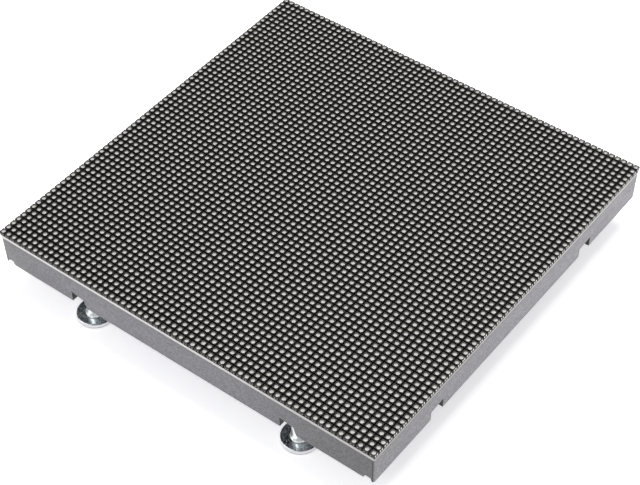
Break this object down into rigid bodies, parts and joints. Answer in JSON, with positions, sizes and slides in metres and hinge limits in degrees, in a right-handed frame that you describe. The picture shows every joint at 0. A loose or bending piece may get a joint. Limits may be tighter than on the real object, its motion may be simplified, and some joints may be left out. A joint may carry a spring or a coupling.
{
  "type": "rgb led matrix panel",
  "caption": "Square grid of surface-mount RGB LEDs on a circuit board, on a moulded back frame that stands on round magnetic feet.",
  "frame": {"origin": "on the floor under the centre of the face: the middle of the bounding box's lowest plane", "axes": "+Z out of the LED face, +X along the near wall, +Y towards the far wall"},
  "size_m": [0.1596, 0.1596, 0.0258],
  "materials": {
    "led_black": "satin black packages with light grey cups",
    "board": "glass-fibre board, bare edge, black solder mask on its faces",
    "frame_grey": "fine satin moulding",
    "brass": "turned",
    "plated_steel": "bright nickel plate",
    "magnet": "satin nickel plate",
    "screw_steel": "zinc plate",
    "header_black": "satin",
    "header_white": "satin",
    "capacitor_can": "satin",
    "chip_black": "fine matt moulding"
  },
  "bodies": {
    "root": {"led_field": "led_black", "board": "board", "back_frame": "frame_grey", "insert_1": "brass", "insert_2": "brass", "insert_3": "brass", "insert_4": "brass", "insert_5": "brass", "insert_6": "brass", "insert_7": "brass", "insert_8": "brass", "foot_cup_1": "plated_steel", "foot_cup_2": "plated_steel", "foot_cup_3": "plated_steel", "foot_cup_4": "plated_steel", "foot_magnet_1": "magnet", "foot_magnet_2": "magnet", "foot_magnet_3": "magnet", "foot_magnet_4": "magnet", "foot_post_1": "plated_steel", "foot_post_2": "plated_steel", "foot_post_3": "plated_steel", "foot_post_4": "plated_steel", "screw_1": "screw_steel", "screw_2": "screw_steel", "screw_3": "screw_steel", "screw_4": "screw_steel", "screw_5": "screw_steel", "screw_6": "screw_steel", "header_in": "header_black", "header_out": "header_black", "power_header": "header_white", "capacitor_1": "capacitor_can", "capacitor_2": "capacitor_can", "driver_01": "chip_black", "driver_02": "chip_black", "driver_03": "chip_black", "driver_04": "chip_black", "driver_05": "chip_black", "driver_06": "chip_black", "driver_07": "chip_black", "driver_08": "chip_black", "driver_09": "chip_black", "driver_10": "chip_black", "driver_11": "chip_black", "driver_12": "chip_black", "driver_13": "chip_black", "driver_14": "chip_black", "driver_15": "chip_black", "driver_16": "chip_black", "driver_17": "chip_black", "driver_18": "chip_black", "driver_19": "chip_black", "driver_20": "chip_black", "driver_21": "chip_black", "driver_22": "chip_black", "driver_23": "chip_black", "driver_24": "chip_black", "buffer_1": "chip_black", "buffer_2": "chip_black"}
  },
  "joints": []
}
